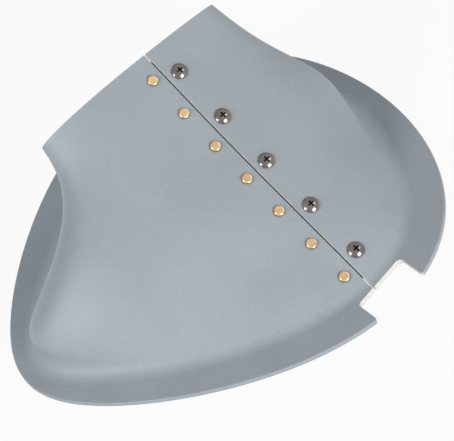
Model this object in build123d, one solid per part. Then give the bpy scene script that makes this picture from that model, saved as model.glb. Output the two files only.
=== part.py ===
from build123d import *
from math import cos, hypot, pi, radians, sin, tan
import os

# Wing strut cuff: the moulded fairing that closes the joint between a lift strut and the lower
# skin of a high wing. Millimetres. The flange lies on the wing skin at z = 0, with +Z away from
# the wing, +X ahead (leading edge) and +Y outboard. The strut comes in from the inboard side.
# The origin is the middle of the flange.

# Moulded shell
wall = 2.3
crease_radius = 11.0
rim_round = 0.8

# Flange, an egg with its narrow end ahead
flange_half_length = 136.8
flange_half_width = 144.8
flange_belly = 10.6
flange_fullness = -0.387
flange_width = 20.0

# Collar round the strut, an oval that is fuller at the leading edge
strut_angle = 39.0
collar_reach = 164.8
collar_rise = 102.6
collar_front = 43.3
collar_back = 90.0
collar_depth = 37.0
collar_fullness = 0.33
collar_flare = 2.0

# Throat, where the collar starts to spread
throat_share = 0.13
throat_dip = 1.3
throat_angle = 44.0
throat_front = 49.5
throat_back = 95.0
throat_depth = 47.0
throat_fullness = 0.3

# Neck, halfway between the collar and the flange
neck_share = 0.364
neck_dip = 3.4
neck_angle = 58.0
neck_front = 90.0
neck_back = 109.5
neck_depth = 76.0
neck_fullness = 0.05

# Foot, where the wall runs out into the flange: the plug spreads on below the wing skin
foot_drop = 12.0
foot_flare = 8.0
foot_stretch = 1.03
foot_lean = 6.0
foot_ahead = 1.0

# Slit that lets the cuff open round the strut, and the strip under it
seam_x = -35.5
seam_gap = 1.0
strip_width = 32.0
strip_thickness = 1.0
strip_start = 6.0
strip_stop = 8.0
strip_fit = 0.05

# Notch in the flange, where the slit runs out
notch_x = -40.3
notch_width = 36.6
notch_turn = 9.0
notch_y = 122.0
notch_top = 5.5
notch_depth = 12.0
notch_cut_angle = 25.0
notch_corner = 3.0
notch_tip = 2.6

# Rivets along the front edge of the slit
rivet_count = 7
rivet_first = 15.2
rivet_pitch = 26.9
rivet_offset = 7.3
rivet_shank = 3.2
rivet_head = 6.35
rivet_head_height = 1.4
rivet_dimple = 1.2
rivet_dimple_depth = 0.25
rivet_tail = 4.8
rivet_tail_height = 1.5
rivet_clearance = 0.06

# Screws along the back edge of the slit, and their anchor nuts
screw_count = 5
screw_first = 20.4
screw_pitch = 37.2
screw_offset = 8.7
screw_shank = 4.17
screw_length = 11.1
screw_head = 9.6
screw_head_height = 2.5
screw_hole_clearance = 0.2
recess_span = 4.4
recess_width = 1.1
recess_depth = 1.7
nut_length = 24.0
nut_width = 8.7
nut_base = 0.9
nut_barrel = 6.6
nut_height = 5.6
nut_rivet_spacing = 17.5
nut_fit = 0.02
nut_rivet_shank = 2.4
nut_rivet_head = 3.8
nut_rivet_tail_height = 0.9
nut_rivet_clearance = 0.04

# Small gap between a flat seat and the slightly curved skin under it
seat_gap = 0.06

# How far the plug is drawn past the small end before it is trimmed, and the size of the trimmers
overrun = 10.0
reach = 500.0


def egg(half_length, half_width, belly, fullness, count=36):
    """Points round an egg: belly moves its broad middle ahead, fullness makes one end blunter."""
    steps = [pi * k / 180 for k in range(181)]
    peak = max(sin(a) * (1 + fullness * cos(a)) for a in steps)
    points = []
    for k in range(count):
        a = 2 * pi * k / count
        x = half_length * cos(a) + belly * sin(a) ** 2
        y = half_width * sin(a) * (1 + fullness * cos(a)) / peak
        points.append((x, y))
    return points


def inset(points, amount):
    """The same closed row of points, moved inward square to its own line."""
    moved = []
    for k, (x, y) in enumerate(points):
        run = points[(k + 1) % len(points)][0] - points[k - 1][0]
        rise = points[(k + 1) % len(points)][1] - points[k - 1][1]
        size = hypot(run, rise)
        moved.append((x - amount * rise / size, y + amount * run / size))
    return moved


def tilted(y, z, angle):
    """A plane across the cuff whose own y runs outboard and up at an angle to the wing."""
    lift = Vector(0, cos(radians(angle)), sin(radians(angle)))
    return Plane(origin=(0, y, z), x_dir=(1, 0, 0), z_dir=Vector(1, 0, 0).cross(lift))


def oval(crown, angle, front, back, depth, fullness):
    """An oval section that hangs from its crown, as a plane and the points on it."""
    centre = (front - back) / 2
    points = egg((front + back) / 2, depth / 2, 0, fullness)
    return tilted(crown.Y, crown.Z, angle), [(x + centre, y - depth / 2) for x, y in points]


# Crown line: the outboard wall from the small end down to the foot
foot_y = flange_half_width - flange_width
collar_crown = Vector(0, foot_y - collar_reach, collar_rise)
crown_run = Vector(0, collar_reach, -collar_rise).normalized()
crown_up = Vector(0, collar_rise, collar_reach).normalized()
strut_run = Vector(0, cos(radians(strut_angle)), -sin(radians(strut_angle)))
flange_outline = egg(flange_half_length, flange_half_width, flange_belly, flange_fullness)


def crown_at(share, dip):
    """The crown of a section this share of the way down the wall, sunk a little below its line."""
    return collar_crown + Vector(0, collar_reach, -collar_rise) * share - crown_up * dip


def plug_sections():
    """The sections that shape the cuff, from past the small end to below the wing skin."""
    foot = inset(flange_outline, flange_width)
    spread = inset(flange_outline, flange_width - foot_flare)
    return [
        oval(collar_crown - strut_run * overrun, 90 - strut_angle, collar_front - collar_flare,
             collar_back - collar_flare, collar_depth - collar_flare, collar_fullness),
        oval(collar_crown, 90 - strut_angle, collar_front, collar_back, collar_depth,
             collar_fullness),
        oval(crown_at(throat_share, throat_dip), 90 - throat_angle, throat_front, throat_back,
             throat_depth, throat_fullness),
        oval(crown_at(neck_share, neck_dip), 90 - neck_angle, neck_front, neck_back, neck_depth,
             neck_fullness),
        (Plane.XY, foot),
        (Plane.XY.offset(-foot_drop),
         [(x + foot_ahead, y * foot_stretch + foot_lean) for x, y in spread]),
    ]


def make_plug(depth):
    """A solid plug bounded by the surface that lies this deep under the outer skin."""
    sections = plug_sections()
    rows = [[plane.from_local_coords(point) for point in points] for plane, points in sections]
    wires = []
    for level, (plane, points) in enumerate(sections):
        before = rows[max(level - 1, 0)]
        after = rows[min(level + 1, len(rows) - 1)]
        moved = []
        for k, point in enumerate(rows[level]):
            around = rows[level][(k + 1) % len(points)] - rows[level][k - 1]
            inward = plane.z_dir.cross(around).normalized()
            steps = [step for step in (point - before[k], after[k] - point) if step.length > 0]
            along = sum((step * (1 / step.length ** 2) for step in steps), Vector())
            skin_normal = around.cross(along).normalized()
            moved.append(point + inward * (depth / abs(inward.dot(skin_normal))))
        wires.append(Wire([Spline(*moved, periodic=True)]))
    return Solid.make_loft(wires)


def level_edges(solid, height):
    """The edges that lie flat at one height."""
    found = []
    for edge in solid.edges():
        box = edge.bounding_box()
        if abs(box.min.Z - height) < 0.01 and abs(box.max.Z - height) < 0.01:
            found.append(edge)
    return found


past_collar = Plane(origin=collar_crown, x_dir=(1, 0, 0), z_dir=strut_run * -1) * Box(
    reach, reach, reach, align=(Align.CENTER, Align.CENTER, Align.MIN))
below_wing = Box(reach, reach, reach, align=(Align.CENTER, Align.CENTER, Align.MAX))


def make_skin():
    """The outer form: the trimmed plug, run out into the flange with a rolled crease."""
    body = make_plug(0) - below_wing - past_collar
    flange = extrude(make_face(Spline(*flange_outline, periodic=True)), wall)
    skin = (body + flange).solid()
    crease, rim = sorted(level_edges(skin, wall), key=lambda edge: edge.length)
    skin = skin.fillet(crease_radius, [crease])
    rim = max(level_edges(skin, wall), key=lambda edge: edge.length)
    return skin.fillet(rim_round, [rim])


# Plane along the seam: its y runs down the crown line and its z stands square off the wall
seam_plane = Plane(origin=collar_crown + Vector(seam_x, 0, 0), x_dir=(1, 0, 0), z_dir=crown_up)
seam_notch_y = notch_y + (seam_x - notch_x) * tan(radians(notch_turn))
seam_length = (seam_notch_y - collar_crown.Y) / crown_run.Y


def make_notch(skin):
    """The blocks cut out of the flange: a notch with a slanted inner edge, and its two tips."""
    half = notch_width / 2
    skew = half * tan(radians(notch_turn))
    notch = make_face(Polyline(
        (notch_x - half, notch_y - skew), (notch_x + half, notch_y + skew),
        (notch_x + half, reach), (notch_x - half, reach), close=True))
    notch = fillet(notch.vertices().sort_by(Axis.Y)[:2], notch_corner)
    lean = Vector(0, -sin(radians(notch_cut_angle)), cos(radians(notch_cut_angle)))
    level = Pos(lean * (-notch_depth / lean.Z) + Vector(0, 0, notch_top))
    cutters = [extrude(level * notch, 3 * notch_depth, dir=lean)]
    for side in (-1, 1):
        flank = notch_x + side * half
        rim = skin.find_intersection_points(Axis((flank, reach, wall / 4), (0, -1, 0)))[0][0]
        tip = Pos(flank + side * notch_tip, rim.Y - 0.95 * notch_tip, -1)
        waste = Pos(-side * notch_tip / 2, notch_tip) * Rectangle(notch_tip, 2 * notch_tip)
        cutters.append(extrude(tip * (waste - Circle(notch_tip)), 2 * wall))
    return cutters


def make_shell(skin, hollow):
    """The skin made hollow, with the same crease inside its mouth, then slit and notched."""
    shell = (skin - hollow).solid()
    mouth = min(level_edges(shell, 0), key=lambda edge: edge.length)
    shell = shell.fillet(crease_radius + wall, [mouth])
    slit = seam_plane * Pos(0, seam_length / 2, 0) * Box(
        seam_gap, seam_length + 2 * notch_corner, 2 * (neck_dip + 3 * wall))
    for cutter in [slit] + make_notch(skin):
        shell = (shell - cutter).solid()
    return shell


def make_strip(hollow):
    """The strip under the slit, bent to the inside of the wall."""
    length = seam_length - strip_start - strip_stop
    band = seam_plane * Pos(0, strip_start + length / 2, 0) * Box(
        strip_width, length, 2 * (neck_dip + 6 * wall))
    outside = hollow.moved(Pos(crown_up * -strip_fit))
    inside = hollow.moved(Pos(crown_up * -(strip_fit + strip_thickness)))
    return ((band & outside) - inside).solid()


def station(skin, distance, offset):
    """The spot on the outer skin this far from the small end and this far ahead of the seam."""
    above = seam_plane.from_local_coords((offset, distance, 2 * crease_radius))
    spot, normal = skin.find_intersection_points(Axis(above, crown_up * -1))[0]
    return Plane(origin=spot, x_dir=crown_run, z_dir=normal)


def depths(piece, spot, along=0.0, across=0.0):
    """How deep the two faces of a piece lie under a spot, measured square to the skin there."""
    start = spot.from_local_coords((along, across, 2 * wall))
    hits = piece.find_intersection_points(Axis(start, spot.z_dir * -1))
    return [(hit - start).length - 2 * wall for hit, normal in hits]


def make_rivet(grip):
    """Universal head rivet: low round-shouldered head, shank and the driven tail."""
    shank = rivet_shank / 2
    head = rivet_head / 2
    tail = rivet_tail / 2
    top = seat_gap + rivet_head_height
    seat = -grip - seat_gap
    end = seat - rivet_tail_height
    soft = rivet_head_height * 0.7
    body = Polyline((0, top), (head - soft, top))
    shoulder = TangentArc((head - soft, top), (head, top - soft), tangent=(1, 0))
    rest = Polyline((head, top - soft), (head, seat_gap), (shank, seat_gap), (shank, seat),
                    (tail, seat), (tail, end), (0, end), (0, top))
    solid = revolve(Plane.XZ * make_face(body + shoulder + rest), Axis.Z)
    dimple = Pos(0, 0, top) * Cone(0.01, rivet_dimple / 2, 2 * rivet_dimple_depth)
    return solid - dimple


def make_screw():
    """Truss head machine screw with a cross recess; the fine thread is left off."""
    shank = screw_shank / 2
    head = screw_head / 2
    brim = seat_gap + screw_head_height * 0.2
    top = seat_gap + screw_head_height
    end = seat_gap - screw_length
    dome = TangentArc((0, top), (head, brim), tangent=(1, 0))
    rest = Polyline((head, brim), (head, seat_gap), (shank, seat_gap), (shank, end + shank / 2),
                    (shank / 2, end), (0, end), (0, top))
    solid = revolve(Plane.XZ * make_face(dome + rest), Axis.Z)
    cross = Rectangle(recess_span, recess_width) + Rectangle(recess_width, recess_span)
    return solid - Pos(0, 0, top) * extrude(cross, -recess_depth, taper=12)


def make_nut():
    """Two-lug anchor nut hung from its base plate at z = 0."""
    lug = (nut_length - nut_rivet_spacing) / 2
    lugs = [Pos(side * nut_rivet_spacing / 2, 0) * Circle(lug) for side in (-1, 1)]
    plate = make_hull((Circle(nut_width / 2) + lugs).edges())
    nut = extrude(plate, -nut_base) + Cylinder(
        nut_barrel / 2, nut_height, align=(Align.CENTER, Align.CENTER, Align.MAX))
    nut -= Cylinder(screw_shank / 2 + nut_fit, 3 * nut_height)
    for side in (-1, 1):
        nut -= Pos(side * nut_rivet_spacing / 2, 0) * Cylinder(
            nut_rivet_shank / 2 + nut_rivet_clearance, 3 * nut_height)
    return nut


def make_nut_rivet(top, grip):
    """Flush rivet: its cone lies in the strip, its tail is driven against the nut's lug."""
    shank = nut_rivet_shank / 2
    cone = (nut_rivet_head - nut_rivet_shank) / 2
    seat = -grip - seat_gap
    end = seat - nut_rivet_tail_height
    tail = shank * 1.45
    return revolve(Plane.XZ * make_face(Polyline(
        (0, -top), (shank + cone, -top), (shank, -top - cone), (shank, seat), (tail, seat),
        (tail, end), (0, end), close=True)), Axis.Z)


skin = make_skin()
hollow = make_plug(wall)
shell = make_shell(skin, hollow)
strip = make_strip(hollow)
pieces = {}

rivet_hole = rivet_shank / 2 + rivet_clearance
for k in range(rivet_count):
    spot = station(skin, rivet_first + k * rivet_pitch, rivet_offset)
    grip = depths(strip, spot)[1]
    drill = spot * Cylinder(rivet_hole, 4 * wall + 4)
    shell -= drill
    strip -= drill
    pieces[f"rivet_{k + 1}"] = spot * make_rivet(grip)

screw_hole = screw_shank / 2 + screw_hole_clearance
for k in range(screw_count):
    spot = station(skin, screw_first + k * screw_pitch, -screw_offset)
    strip_inside = max(depths(strip, spot, along, across)[1]
                       for along in (-nut_length / 2, 0, nut_length / 2)
                       for across in (-nut_width / 2, 0, nut_width / 2))
    drill = spot * Cylinder(screw_hole, 4 * wall + 4)
    pieces[f"screw_{k + 1}"] = spot * make_screw()
    pieces[f"anchor_nut_{k + 1}"] = spot * Pos(0, 0, -strip_inside - seat_gap) * make_nut()
    for number, side in ((2 * k + 1, -1), (2 * k + 2, 1)):
        along = side * nut_rivet_spacing / 2
        strip_top = depths(strip, spot, along)[0]
        cone = nut_rivet_head / 2 + nut_rivet_clearance
        hole = nut_rivet_shank / 2 + nut_rivet_clearance
        strip -= spot * Pos(along, 0, -strip_top) * (
            Cylinder(hole, 4 * wall) + Pos(0, 0, -(cone - hole) / 2) * Cone(hole, cone, cone - hole)
            + Cylinder(cone, wall, align=(Align.CENTER, Align.CENTER, Align.MIN)))
        pieces[f"nut_rivet_{number}"] = spot * Pos(along, 0, 0) * make_nut_rivet(
            strip_top + nut_rivet_clearance, strip_inside + seat_gap + nut_base)
    shell -= drill
    strip -= drill

pieces["cuff_shell"] = shell
pieces["splice_strip"] = strip

os.makedirs("parts", exist_ok=True)
for name, piece in pieces.items():
    export_step(piece.solid(), f"parts/{name}.step")
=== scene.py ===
import math

import bmesh
import bpy
from mathutils import Matrix, Vector
from mathutils.bvhtree import BVHTree


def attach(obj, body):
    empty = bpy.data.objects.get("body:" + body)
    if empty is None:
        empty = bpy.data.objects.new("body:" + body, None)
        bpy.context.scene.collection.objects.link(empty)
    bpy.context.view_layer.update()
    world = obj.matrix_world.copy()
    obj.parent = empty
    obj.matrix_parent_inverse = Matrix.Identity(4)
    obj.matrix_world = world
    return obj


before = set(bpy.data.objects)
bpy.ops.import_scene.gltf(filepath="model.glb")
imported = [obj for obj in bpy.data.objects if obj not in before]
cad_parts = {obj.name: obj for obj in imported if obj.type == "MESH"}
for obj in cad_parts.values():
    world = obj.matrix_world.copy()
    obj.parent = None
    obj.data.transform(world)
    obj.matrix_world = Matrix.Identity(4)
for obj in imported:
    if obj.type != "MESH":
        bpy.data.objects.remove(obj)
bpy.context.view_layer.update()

# Camera: a long lens from outboard, behind and above, turned about its own axis as the
# photograph is. Right and up are the picture's own, and back points to the lens. The lens is
# placed from the slit's foot, where the slit runs out into the notch of the flange.
wall = 0.0023
slit_x = -0.0355
slit_foot = Vector((slit_x, 0.122, wall))
foot_right_of_middle = 0.08064
foot_below_middle = 0.0364
lens_distance = 1.3
picture_width = 0.25424
sensor_width = 36
right = Vector((-0.739, 0.566, -0.366)).normalized()
back = Vector((0.202, 0.704, 0.681)).normalized()
back = (back - right * back.dot(right)).normalized()
up = back.cross(right)
eye = slit_foot - right * foot_right_of_middle + up * foot_below_middle + back * lens_distance
lens = bpy.data.cameras.new("camera")
lens.sensor_width = sensor_width
lens.lens = sensor_width * lens_distance / picture_width
lens.clip_start = 0.05
camera = bpy.data.objects.new("camera", lens)
camera.matrix_world = Matrix.Translation(eye) @ Matrix((right, up, back)).transposed().to_4x4()
bpy.context.scene.collection.objects.link(camera)
bpy.context.scene.camera = camera
bpy.context.scene.view_settings.view_transform = "Standard"

# Soft boxes: two low to the left and right of the lens, which put the two spots on each screw
# head, and a weak one beyond the part. Each has its place along the picture's right, up and
# back, and its power in watts.
cuff_middle = Vector((0, 0.02, 0.03))
box_distance = 1.5
box_side = 0.7
for name, place, watts in (("box_left", (-0.79, -0.18, 0.58), 10.0),
                           ("box_right", (0.60, -0.23, 0.77), 15.8),
                           ("box_far", (0.50, 0.75, 0.43), 3.0)):
    way = (right * place[0] + up * place[1] + back * place[2]).normalized()
    light = bpy.data.lights.new(name, "AREA")
    light.shape = "SQUARE"
    light.size = box_side
    light.energy = watts
    lamp = bpy.data.objects.new(name, light)
    lamp.matrix_world = (Matrix.Translation(cuff_middle + way * box_distance)
                         @ way.to_track_quat("Z", "Y").to_matrix().to_4x4())
    bpy.context.scene.collection.objects.link(lamp)


# Room: white to the lens and in the metal's reflections, and a weak cool light from all round on
# the rest, so that the folds of the cuff keep their shade.
def worked(tree, operation, *values):
    """The result of a maths node on these values, each a socket or a plain number."""
    step = tree.nodes.new("ShaderNodeMath")
    step.operation = operation
    for socket, value in zip(step.inputs, values):
        if isinstance(value, float):
            socket.default_value = value
        else:
            tree.links.new(value, socket)
    return step.outputs[0]


def seen_or_mirrored(tree):
    """1 on rays from the lens, mirrored ones and ones through glass, and 0 on the rest."""
    rays = tree.nodes.new("ShaderNodeLightPath")
    seen = worked(tree, "MAXIMUM", rays.outputs["Is Camera Ray"], rays.outputs["Is Glossy Ray"])
    return worked(tree, "MAXIMUM", seen, rays.outputs["Is Transmission Ray"])


world = bpy.data.worlds.new("room")
bpy.context.scene.world = world
world.use_nodes = True
tree = world.node_tree
tree.nodes.clear()
white = tree.nodes.new("ShaderNodeBackground")
white.inputs["Strength"].default_value = 1.0
air = tree.nodes.new("ShaderNodeBackground")
air.inputs["Color"].default_value = (0.95, 0.97, 1.0, 1)
air.inputs["Strength"].default_value = 0.21
blend = tree.nodes.new("ShaderNodeMixShader")
tree.links.new(seen_or_mirrored(tree), blend.inputs[0])
tree.links.new(air.outputs[0], blend.inputs[1])
tree.links.new(white.outputs[0], blend.inputs[2])
out = tree.nodes.new("ShaderNodeOutputWorld")
tree.links.new(blend.outputs[0], out.inputs["Surface"])

# Floor: a wide white sheet just under the flange. It glows nearly white to the lens and keeps
# the cuff's shadow.
floor_half_width = 6.0
floor_drop = 0.0004
glow_share = 0.92
mesh = bpy.data.meshes.new("floor")
bm = bmesh.new()
bmesh.ops.create_grid(bm, x_segments=1, y_segments=1, size=floor_half_width)
bmesh.ops.translate(bm, verts=bm.verts, vec=(0, 0, -floor_drop))
bm.to_mesh(mesh)
bm.free()
floor = bpy.data.objects.new("floor", mesh)
bpy.context.scene.collection.objects.link(floor)
sheet = bpy.data.materials.new("white sheet")
sheet.use_nodes = True
tree = sheet.node_tree
tree.nodes.clear()
paper = tree.nodes.new("ShaderNodeBsdfDiffuse")
paper.inputs["Color"].default_value = (0.86, 0.86, 0.86, 1)
glow = tree.nodes.new("ShaderNodeEmission")
glow.inputs["Strength"].default_value = 1.0
blend = tree.nodes.new("ShaderNodeMixShader")
tree.links.new(worked(tree, "MULTIPLY", seen_or_mirrored(tree), glow_share), blend.inputs[0])
tree.links.new(paper.outputs[0], blend.inputs[1])
tree.links.new(glow.outputs[0], blend.inputs[2])
out = tree.nodes.new("ShaderNodeOutputMaterial")
tree.links.new(blend.outputs[0], out.inputs["Surface"])
mesh.materials.append(sheet)


# Mottling: the slow cloudiness and the fine grain that sprayed, moulded and plated faces share.
# The group gives a value round zero for colour, and a height for the grain.
def noise(tree, vector, scale, detail=2.0):
    """Noise along this vector. Its scale is a socket or a plain number."""
    texture = tree.nodes.new("ShaderNodeTexNoise")
    texture.inputs["Detail"].default_value = detail
    tree.links.new(vector, texture.inputs["Vector"])
    if isinstance(scale, float):
        texture.inputs["Scale"].default_value = scale
    else:
        tree.links.new(scale, texture.inputs["Scale"])
    return texture.outputs["Fac"]


mottling = bpy.data.node_groups.new("Mottling", "ShaderNodeTree")
for name, value in (("Cloud Scale", 20.0), ("Grain Scale", 900.0), ("Cloud", 0.1),
                    ("Grain", 0.1)):
    mottling.interface.new_socket(name, in_out="INPUT",
                                  socket_type="NodeSocketFloat").default_value = value
mottling.interface.new_socket("Shade", in_out="OUTPUT", socket_type="NodeSocketFloat")
mottling.interface.new_socket("Height", in_out="OUTPUT", socket_type="NodeSocketFloat")
given = mottling.nodes.new("NodeGroupInput")
result = mottling.nodes.new("NodeGroupOutput")
place = mottling.nodes.new("ShaderNodeTexCoord").outputs["Object"]
cloud = noise(mottling, place, given.outputs["Cloud Scale"], detail=3.0)
grain = noise(mottling, place, given.outputs["Grain Scale"])
shares = [worked(mottling, "MULTIPLY", worked(mottling, "SUBTRACT", value, 0.5), amount)
          for value, amount in ((cloud, given.outputs["Cloud"]), (grain, given.outputs["Grain"]))]
mottling.links.new(worked(mottling, "ADD", *shares), result.inputs["Shade"])
mottling.links.new(grain, result.inputs["Height"])


# Scuffs: thin rubbed lines in two directions, kept to a few patches. The group gives their mask.
# Each layer has its turn, its stretch, and the noise where it starts and where it is full.
def ranged(tree, value, low, high, start=0.0, end=1.0):
    """The value brought from low..high to start..end, and kept between them."""
    span = tree.nodes.new("ShaderNodeMapRange")
    span.inputs["From Min"].default_value = low
    span.inputs["From Max"].default_value = high
    span.inputs["To Min"].default_value = start
    span.inputs["To Max"].default_value = end
    tree.links.new(value, span.inputs["Value"])
    return span.outputs["Result"]


scuffs = bpy.data.node_groups.new("Scuffs", "ShaderNodeTree")
scuffs.interface.new_socket("Scale", in_out="INPUT",
                            socket_type="NodeSocketFloat").default_value = 60.0
scuffs.interface.new_socket("Mask", in_out="OUTPUT", socket_type="NodeSocketFloat")
given = scuffs.nodes.new("NodeGroupInput")
result = scuffs.nodes.new("NodeGroupOutput")
place = scuffs.nodes.new("ShaderNodeTexCoord").outputs["Object"]
marks = []
for turn, stretch, low, high in (((0.3, 0.2, 0.6), (1, 24, 24), 0.66, 0.76),
                                 ((-0.4, 0.5, 2.1), (1, 18, 18), 0.67, 0.77),
                                 ((0, 0, 0), (0.3, 0.3, 0.3), 0.50, 0.66)):
    aim = scuffs.nodes.new("ShaderNodeMapping")
    aim.inputs["Rotation"].default_value = turn
    aim.inputs["Scale"].default_value = stretch
    scuffs.links.new(place, aim.inputs["Vector"])
    marks.append(ranged(scuffs, noise(scuffs, aim.outputs["Vector"], given.outputs["Scale"]),
                        low, high))
lines, crossing_lines, patches = marks
either = worked(scuffs, "MAXIMUM", lines, crossing_lines)
scuffs.links.new(worked(scuffs, "MULTIPLY", either, patches), result.inputs["Mask"])

# Corner dirt and painted shade: darkening painted into recesses, under heads and in the slit, where
# shade falls, with some dirt among it. The group gives its mask, full where the corner is closed and
# broken up by a small noise.
dirt_and_shade = bpy.data.node_groups.new("Corner dirt", "ShaderNodeTree")
dirt_and_shade.interface.new_socket("Mask", in_out="OUTPUT", socket_type="NodeSocketFloat")
result = dirt_and_shade.nodes.new("NodeGroupOutput")
place = dirt_and_shade.nodes.new("ShaderNodeTexCoord").outputs["Object"]
corner = dirt_and_shade.nodes.new("ShaderNodeAmbientOcclusion")
corner.samples = 8
corner.inputs["Distance"].default_value = 0.0016
closed = ranged(dirt_and_shade, corner.outputs["AO"], 0.95, 0.55)
broken = ranged(dirt_and_shade, noise(dirt_and_shade, place, 900.0), 0.3, 0.6, start=0.7)
dirt_and_shade.links.new(worked(dirt_and_shade, "MULTIPLY", closed, broken), result.inputs["Mask"])


# Shell: one glass fibre moulding with a flat grey outside, a pale core where it is cut, and the
# cloth showing on the inside. Its slit, notch and holes are cut after moulding.
def painted(tree, under, over, mask):
    """The colour over laid on the one under it, a colour or a socket, as far as the mask says."""
    layer = tree.nodes.new("ShaderNodeMix")
    layer.data_type = "RGBA"
    layer.inputs["B"].default_value = (*over, 1)
    if isinstance(under, tuple):
        layer.inputs["A"].default_value = (*under, 1)
    else:
        tree.links.new(under, layer.inputs["A"])
    tree.links.new(mask, layer.inputs["Factor"])
    return layer.outputs["Result"]


def woven(tree, pitch):
    """The height of a plain weave with this pitch, from 0 between the threads to 1 on them."""
    wave_at_scale_one = 0.314
    place = tree.nodes.new("ShaderNodeTexCoord").outputs["Object"]
    threads = []
    for turn in ((0.35, 0.25, 0.1), (0.35, 0.25, 1.67)):
        aim = tree.nodes.new("ShaderNodeMapping")
        aim.inputs["Rotation"].default_value = turn
        tree.links.new(place, aim.inputs["Vector"])
        thread = tree.nodes.new("ShaderNodeTexWave")
        thread.inputs["Scale"].default_value = wave_at_scale_one / pitch
        thread.inputs["Distortion"].default_value = 0.6
        thread.inputs["Detail Scale"].default_value = 0.4
        tree.links.new(aim.outputs["Vector"], thread.inputs["Vector"])
        threads.append(thread.outputs["Fac"])
    return worked(tree, "MULTIPLY", *threads)


def finish(name, dark, light, rubbed, soiled_and_shaded, rough, grain_height, cloud_scale, grain_scale,
           cloud, grain, scuff_scale, metallic=0.0, cloth_pitch=0.0):
    """A finish whose colour and gloss drift with the mottling, rubbed in lines, with painted shade
    and dirt in corners.
    """
    cloth_in_colour = 0.3
    dirt_and_shade_dulls = 0.25
    scuffs_dull = 0.12
    made = bpy.data.materials.new(name)
    made.use_nodes = True
    tree = made.node_tree
    surface = tree.nodes["Principled BSDF"]
    surface.inputs["Metallic"].default_value = metallic
    mottle = tree.nodes.new("ShaderNodeGroup")
    mottle.node_tree = mottling
    for socket, value in (("Cloud Scale", cloud_scale), ("Grain Scale", grain_scale),
                          ("Cloud", cloud), ("Grain", grain)):
        mottle.inputs[socket].default_value = value
    shade = mottle.outputs["Shade"]
    height = mottle.outputs["Height"]
    if cloth_pitch:
        cloth = woven(tree, cloth_pitch)
        height = worked(tree, "ADD", cloth, height)
        shade = worked(tree, "MULTIPLY_ADD", cloth, cloth_in_colour, shade)
    scuff = tree.nodes.new("ShaderNodeGroup")
    scuff.node_tree = scuffs
    scuff.inputs["Scale"].default_value = scuff_scale
    corner = tree.nodes.new("ShaderNodeGroup")
    corner.node_tree = dirt_and_shade
    colour = painted(tree, dark, light, ranged(tree, shade, -0.5, 0.5))
    colour = painted(tree, colour, rubbed, scuff.outputs["Mask"])
    # Painted shade and dirt: closed corners are darkened toward the corner colour.
    colour = painted(tree, colour, soiled_and_shaded, corner.outputs["Mask"])
    tree.links.new(colour, surface.inputs["Base Color"])
    dull = ranged(tree, shade, -0.5, 0.5, start=rough[0], end=rough[1])
    for mask, share in ((corner.outputs["Mask"], dirt_and_shade_dulls), (scuff.outputs["Mask"], scuffs_dull)):
        dull = worked(tree, "MULTIPLY_ADD", mask, share, dull)
        dull.node.use_clamp = True
    tree.links.new(dull, surface.inputs["Roughness"])
    bump = tree.nodes.new("ShaderNodeBump")
    bump.inputs["Strength"].default_value = 1.0
    bump.inputs["Distance"].default_value = grain_height
    tree.links.new(height, bump.inputs["Height"])
    tree.links.new(bump.outputs["Normal"], surface.inputs["Normal"])
    return made


# Each corner colour below is laid in closed corners: painted shade with some dirt.
skin = finish("grey shell", dark=(0.333, 0.375, 0.405), light=(0.42, 0.47, 0.505),
              rubbed=(0.42, 0.46, 0.49), soiled_and_shaded=(0.22, 0.24, 0.25), rough=(0.42, 0.56),
              grain_height=0.00002, cloud_scale=24, grain_scale=700, cloud=1.2, grain=1.0,
              scuff_scale=45)
core = finish("cut laminate", dark=(0.66, 0.65, 0.60), light=(0.84, 0.83, 0.78),
              rubbed=(0.86, 0.85, 0.80), soiled_and_shaded=(0.74, 0.73, 0.68), rough=(0.6, 0.8),
              grain_height=0.00005, cloud_scale=60, grain_scale=900, cloud=1.2, grain=1.0,
              scuff_scale=90)
inside = finish("inner laminate", dark=(0.26, 0.27, 0.25), light=(0.42, 0.43, 0.40),
                rubbed=(0.46, 0.47, 0.44), soiled_and_shaded=(0.14, 0.14, 0.12), rough=(0.5, 0.75),
                grain_height=0.0001, cloud_scale=30, grain_scale=500, cloud=1.2, grain=1.0,
                scuff_scale=60, cloth_pitch=0.0022)

# Painted highlight: along the slit's rear edge a thin pale band is painted on the grey, standing in
# for light on the cut edge. The mask is a thin band behind the slit with a ragged rear side, on the
# outboard wall alone.
band_near = 0.0004
band_far = 0.00055
raggedness = 0.0005
outboard_slope = 0.81
outboard_from = 0.058
edge_highlight = (0.74, 0.75, 0.73)
tree = skin.node_tree
place = tree.nodes.new("ShaderNodeTexCoord").outputs["Object"]
parted = tree.nodes.new("ShaderNodeSeparateXYZ")
tree.links.new(place, parted.inputs["Vector"])
x, y, z = parted.outputs
ragged_x = worked(tree, "MULTIPLY_ADD", noise(tree, place, 350.0), raggedness, x)
highlight_band = ranged(tree, ragged_x, slit_x - band_far, slit_x - band_near)
behind_slit = worked(tree, "LESS_THAN", x, slit_x)
raised = worked(tree, "MULTIPLY_ADD", y, outboard_slope, z)
outboard = worked(tree, "GREATER_THAN", raised, outboard_from)
highlight_band = worked(tree, "MULTIPLY", worked(tree, "MULTIPLY", highlight_band, behind_slit), outboard)
base_colour = tree.nodes["Principled BSDF"].inputs["Base Color"]
# The pale band is a painted highlight laid over the grey.
tree.links.new(painted(tree, base_colour.links[0].from_socket, edge_highlight, highlight_band), base_colour)

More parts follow.
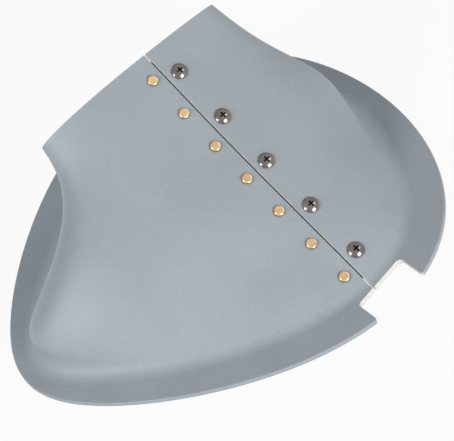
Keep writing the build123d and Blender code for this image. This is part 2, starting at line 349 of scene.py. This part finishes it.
# Faces of the shell: cut through to the core at the slit, the collar's end and the notch, grey
# over the flange's rim, and inner where they face the hollow's bent axis. Low on the inboard side
# the slope decides instead, and where the wall is too thin to part its two sides it is outer.
outer, cut, inner = range(3)
slit_half_width = 0.0008
strut_angle = math.radians(39)
strut_way = Vector((0, -math.cos(strut_angle), math.sin(strut_angle)))
collar_end = Vector((0, -0.0400, 0.1026))
flush = 0.0002
square_to_slit = 0.99
square_to_strut = 0.999
standing = 0.02
lying = 0.98
flange_top = wall - 0.0003
notch_x = -0.0403
notch_half_width = 0.023
notch_root_y = 0.1145
notch_mouth_y = 0.1285
crease_height = 0.010
notch_lean = 0.5
notch_side = 0.6
inboard_y = -0.03
inboard_top = 0.026
inboard_reach = 0.105
thinnest_wall = 0.0008
ray_start = 0.000002
hollow_axis = (Vector((-0.023, -0.0516, 0.0882)), Vector((-0.012, -0.012, 0.0414)), Vector())


def to_axis(spot):
    """The way from a spot to the nearest point of the hollow's axis."""
    ways = []
    for start, end in zip(hollow_axis, hollow_axis[1:]):
        run = end - start
        share = max(0.0, min(1.0, (spot - start).dot(run) / run.length_squared))
        ways.append(start + run * share - spot)
    return min(ways, key=lambda way: way.length)


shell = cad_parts["cuff_shell"]
shell.data.materials.clear()
for made in (skin, core, inside):
    shell.data.materials.append(made)
moulding = BVHTree.FromPolygons([vert.co for vert in shell.data.vertices],
                                [face.vertices for face in shell.data.polygons])
thin_faces = []
for face in shell.data.polygons:
    spot = face.center
    way = face.normal
    on_slit = abs(way.x) > square_to_slit and abs(spot.x - slit_x) < slit_half_width
    on_end = (way.dot(strut_way) > square_to_strut
              and abs((spot - collar_end).dot(strut_way)) < flush)
    in_notch = (spot.y > notch_root_y and abs(spot.x - notch_x) < notch_half_width
                and -standing < way.z < notch_lean and spot.z < wall + crease_height
                and (spot.y < notch_mouth_y or abs(way.x) > notch_side))
    if on_slit or on_end or in_notch:
        face.material_index = cut
    elif abs(way.z) < standing and abs(spot.z) < wall:
        face.material_index = outer
    elif way.z < -lying and spot.z < flush:
        face.material_index = inner
    elif way.z > lying and spot.z > flange_top:
        face.material_index = outer
    elif spot.y < inboard_y and spot.z < inboard_top:
        thin = (abs(spot.x) < inboard_reach and way.z <= 0
                and moulding.ray_cast(spot - way * ray_start, -way, thinnest_wall)[0] is not None)
        face.material_index = outer if way.z > 0 or thin else inner
        if thin:
            thin_faces.append(face)
    elif way.dot(to_axis(spot)) > 0:
        face.material_index = inner
    else:
        face.material_index = outer

# Inboard wall: the low broad stretch of the same moulding between flange and collar, where the
# solid is open. It leaves the knife-sharp edge of the opening along the slope of the skin on both
# sides, and a lining follows the inside of the thin stretch round it.
opening_low = 0.0025
opening_high = 0.03
opening_reach = 0.1
knife_sharp = math.radians(100)
weld = 0.000001
wall_steps = 24
wall_body = 0.0016
body_to_span = 0.08
lining_gap = 0.00015
lining_body = 0.0001
smooth_below = math.radians(60)
wall_skin, wall_inside = range(2)
bm = bmesh.new()
bm.from_mesh(shell.data)
bmesh.ops.remove_doubles(bm, verts=bm.verts, dist=weld)
beside = {}
for edge in bm.edges:
    first, second = edge.verts
    spot = (first.co + second.co) / 2
    near_opening = (spot.y < inboard_y and opening_low < spot.z < opening_high
                    and abs(spot.x) < opening_reach)
    if near_opening and edge.calc_face_angle(0) > knife_sharp:
        beside.setdefault(first, []).append(second)
        beside.setdefault(second, []).append(first)
rear = min(beside, key=lambda vert: vert.co.x, default=None)
front = max(beside, key=lambda vert: vert.co.x, default=None)
skin_way = {vert: sum((face.normal for face in vert.link_faces if face.normal.z > 0),
                      Vector()).normalized() for vert in beside}
sides = []
for vert in beside.get(rear, []):
    side = [rear, vert]
    while side[-1] is not front and len(side) <= len(beside):
        side.append(next((other for other in beside[side[-1]] if other not in side), front))
    sides.append(side)
sides.sort(key=lambda side: min(vert.co.y for vert in side))
stations = sorted({vert.co.x for vert in beside}) if len(sides) == 2 else []
rows = []
for station in stations:
    ends = []
    for side in sides:
        before, after = next((a, b) for a, b in zip(side, side[1:])
                             if station <= b.co.x or b is front)
        share = (station - before.co.x) / max(after.co.x - before.co.x, weld / 1000)
        ends.append((before.co.lerp(after.co, share),
                     skin_way[before].lerp(skin_way[after], share).normalized()))
    (low, low_way), (high, high_way) = ends
    span = high - low
    low_arm = low + (span - low_way * span.dot(low_way)) / 3
    high_arm = high - (span - high_way * span.dot(high_way)) / 3
    body = min(wall_body, span.length * body_to_span)
    row = []
    for step in range(wall_steps + 1):
        t = step / wall_steps
        top = (low * (1 - t) ** 3 + low_arm * 3 * t * (1 - t) ** 2
               + high_arm * 3 * t ** 2 * (1 - t) + high * t ** 3)
        depth = body * (1 - abs(2 * t - 1) ** 3)
        row.append((top, top - low_way.lerp(high_way, t).normalized() * depth))
    rows.append(row)
bm.free()
bm = bmesh.new()
for layer in (wall_skin, wall_inside):
    grid = [[bm.verts.new(pair[layer]) for pair in row] for row in rows]
    for row, following in zip(grid, grid[1:]):
        for k in range(wall_steps):
            corners = (row[k], following[k], following[k + 1], row[k + 1])
            face = bm.faces.new(corners if layer == wall_skin else corners[::-1])
            face.material_index = layer
            face.smooth = True
bmesh.ops.remove_doubles(bm, verts=bm.verts, dist=weld)
bmesh.ops.dissolve_degenerate(bm, edges=bm.edges, dist=weld)


def corners_of(face):
    """The corners of a face of the shell, rounded so that its loose triangles share them."""
    return [tuple(round(value, 6) for value in shell.data.vertices[index].co)
            for index in face.vertices]


corner_way = {}
for face in thin_faces:
    for spot in corners_of(face):
        corner_way[spot] = corner_way.get(spot, Vector()) + face.normal * face.area
lining = {spot: bm.verts.new(Vector(spot) + way.normalized() * lining_gap)
          for spot, way in corner_way.items()}
lined = {}
for face in thin_faces:
    ring = corners_of(face)
    if len(set(ring)) == len(ring) and frozenset(ring) not in lined:
        fresh = bm.faces.new([lining[spot] for spot in ring])
        fresh.material_index = wall_inside
        fresh.smooth = True
        lined[frozenset(ring)] = fresh
bm.normal_update()
bmesh.ops.solidify(bm, geom=list(lined.values()), thickness=lining_body)
bmesh.ops.recalc_face_normals(bm, faces=bm.faces)
for edge in bm.edges:
    edge.smooth = edge.calc_face_angle(0) < smooth_below
mesh = bpy.data.meshes.new("inboard_wall")
bm.to_mesh(mesh)
bm.free()
mesh.materials.append(skin)
mesh.materials.append(inside)
inboard_wall = bpy.data.objects.new("inboard_wall", mesh)
bpy.context.scene.collection.objects.link(inboard_wall)
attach(inboard_wall, "root")

# Strip: soft sheet aluminium, bent to the inside of the wall under the slit. Both edges of the
# slit are fastened to it, so it holds the cuff closed round the strut.
# Its dark corner colour is painted shade on the strip seen in the slit.
strip_metal = finish("sheet aluminium", dark=(0.52, 0.53, 0.54), light=(0.70, 0.71, 0.72),
                     rubbed=(0.80, 0.81, 0.82), soiled_and_shaded=(0.10, 0.10, 0.10), rough=(0.3, 0.45),
                     grain_height=0.00001, cloud_scale=40, grain_scale=1200, cloud=1.0,
                     grain=0.8, scuff_scale=120, metallic=1.0)
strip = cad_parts["splice_strip"]
strip.data.materials.clear()
strip.data.materials.append(strip_metal)

# Rivets: solid aluminium with universal heads and a gold coat, driven in a row ahead of the
# slit. They join the front edge of the slit to the strip for good.
# Its brown corner colour is painted shade round each head's rim and in its dimple.
gold = finish("gold coat", dark=(0.64, 0.41, 0.21), light=(0.90, 0.68, 0.41),
              rubbed=(0.95, 0.85, 0.70), soiled_and_shaded=(0.16, 0.08, 0.035), rough=(0.24, 0.36),
              grain_height=0.000008, cloud_scale=300, grain_scale=2500, cloud=1.2, grain=0.8,
              scuff_scale=400, metallic=1.0)
for k in range(7):
    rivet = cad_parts[f"rivet_{k + 1}"]
    rivet.data.materials.clear()
    rivet.data.materials.append(gold)

# Screws: plated steel with truss heads and a cross recess, turned into the anchor nuts behind
# the slit. They come out when the cuff is opened.
# Its nearly black corner colour is painted shade in the cross recess and round each head.
nickel = finish("dark nickel plate", dark=(0.14, 0.125, 0.115), light=(0.30, 0.27, 0.25),
                rubbed=(0.45, 0.43, 0.41), soiled_and_shaded=(0.008, 0.007, 0.006), rough=(0.10, 0.20),
                grain_height=0.000003, cloud_scale=200, grain_scale=2500, cloud=1.2, grain=0.8,
                scuff_scale=300, metallic=1.0)
for k in range(5):
    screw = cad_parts[f"screw_{k + 1}"]
    screw.data.materials.clear()
    screw.data.materials.append(nickel)

# Anchor nuts: plated steel with two lugs each, under the strip and behind the slit. Two small
# aluminium rivets hold each one, with their heads flush in the strip.
plate = finish("yellow plate", dark=(0.42, 0.38, 0.24), light=(0.60, 0.55, 0.38),
               rubbed=(0.66, 0.63, 0.54), soiled_and_shaded=(0.10, 0.09, 0.06), rough=(0.28, 0.42),
               grain_height=0.00001, cloud_scale=200, grain_scale=2000, cloud=1.2, grain=0.8,
               scuff_scale=250, metallic=1.0)
for k in range(5):
    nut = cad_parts[f"anchor_nut_{k + 1}"]
    nut.data.materials.clear()
    nut.data.materials.append(plate)
for k in range(10):
    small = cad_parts[f"nut_rivet_{k + 1}"]
    small.data.materials.clear()
    small.data.materials.append(strip_metal)
